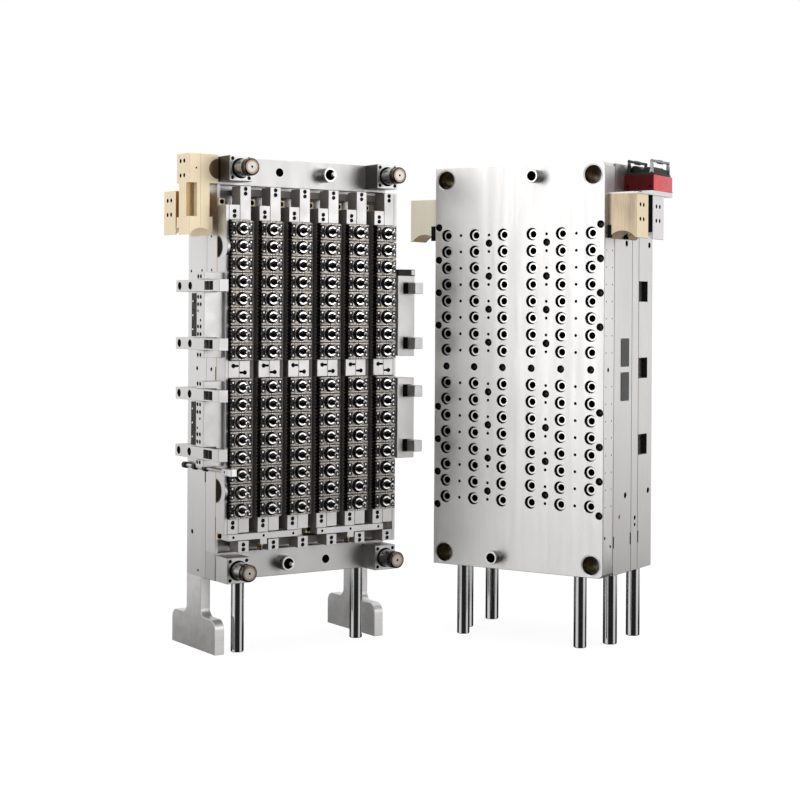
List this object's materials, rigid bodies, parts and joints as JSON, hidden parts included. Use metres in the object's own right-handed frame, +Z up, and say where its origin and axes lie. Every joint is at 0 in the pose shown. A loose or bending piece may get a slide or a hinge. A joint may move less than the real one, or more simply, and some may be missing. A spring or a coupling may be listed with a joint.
{
  "type": "preform mould",
  "caption": "Preform mould opened into its core half, with split neck rings on slide bars, and its cavity half, both standing on posts.",
  "frame": {"origin": "centre of the bounding box's foot, on the floor", "axes": "+X to the right as seen from the front, +Y rearwards, +Z up; the core half is turned 33.8 degrees and the cavity half -32.4 degrees about Z"},
  "size_m": [1.505, 0.8233, 1.443],
  "materials": {
    "plate_steel": "ground and lightly brushed",
    "dark_steel": "dark hardened steel",
    "core_steel": "polished",
    "bronze": "sliding bronze",
    "gold_block": "pale gold, machined",
    "silver_block": "machined",
    "post_chrome": "polished",
    "red_housing": "satin",
    "black_plastic": "moulded",
    "latch_metal": "blackened",
    "tie_roller": "heat-tinted"
  },
  "bodies": {
    "standing_halves": {"core_plate": "plate_steel", "cores_1": "core_steel", "cores_2": "core_steel", "cores_3": "core_steel", "cores_4": "core_steel", "cores_5": "core_steel", "cores_6": "core_steel", "leader_pins": "dark_steel", "left_cam_arms": "plate_steel", "right_cam_arms": "plate_steel", "feet": "plate_steel", "rear_water_block": "gold_block", "cavity_plate": "plate_steel", "guide_bushings": "bronze", "locating_tubes": "dark_steel", "manifold_plate": "plate_steel", "distributor_plate": "plate_steel", "clamp_plate": "plate_steel", "front_posts": "post_chrome", "rear_posts": "post_chrome", "left_gold_block": "gold_block", "right_gold_block": "gold_block", "right_silver_block": "silver_block", "socket_base": "plate_steel", "socket_housing": "red_housing", "socket_insert": "black_plastic", "latch_pivots": "latch_metal"},
    "stripper": {"stripper_plate": "plate_steel", "wear_plate": "bronze", "slide_rails": "plate_steel", "rail_pads": "bronze", "guide_housings": "plate_steel", "plunger_sleeves": "dark_steel", "plunger_pins": "core_steel", "stripper_posts": "post_chrome", "front_water_block": "gold_block"},
    "left_slides": {"left_slide_bars": "plate_steel", "left_neck_rings": "dark_steel", "left_link_bars": "plate_steel", "tie_bars": "plate_steel", "tie_pins": "tie_roller", "left_cam_covers": "plate_steel", "left_cover_keepers": "dark_steel"},
    "right_slides": {"right_slide_bars": "plate_steel", "right_neck_rings": "dark_steel", "right_link_bars": "plate_steel", "right_cam_covers": "plate_steel", "right_cover_keepers": "dark_steel", "cable_bracket": "black_plastic"},
    "inner_latch": {"inner_latch": "latch_metal"},
    "outer_latch": {"outer_latch": "latch_metal"}
  },
  "joints": [
    {"name": "stripper_stroke", "type": "slide", "parent": "standing_halves", "child": "stripper", "axis": [0.5563, -0.831, 0], "range_m": [0, 0.06]},
    {"name": "left_slides_open", "type": "slide", "parent": "stripper", "child": "left_slides", "axis": [-0.831, -0.5563, 0], "range_m": [0, 0.008]},
    {"name": "right_slides_open", "type": "slide", "parent": "stripper", "child": "right_slides", "axis": [0.831, 0.5563, 0], "range_m": [0, 0.008]},
    {"name": "inner_latch_turn", "type": "hinge", "parent": "standing_halves", "child": "inner_latch", "pos_m": [0.64521, -0.02186, 1.403], "axis": [0.5358, 0.8443, 0], "range_deg": [0, 50]},
    {"name": "outer_latch_turn", "type": "hinge", "parent": "standing_halves", "child": "outer_latch", "pos_m": [0.70642, -0.06071, 1.403], "axis": [-0.5358, -0.8443, 0], "range_deg": [0, 50]}
  ],
  "couplings": [
    {"joint": "left_slides_open", "follows": "stripper_stroke", "ratio": 0.13333},
    {"joint": "right_slides_open", "follows": "stripper_stroke", "ratio": 0.13333}
  ]
}
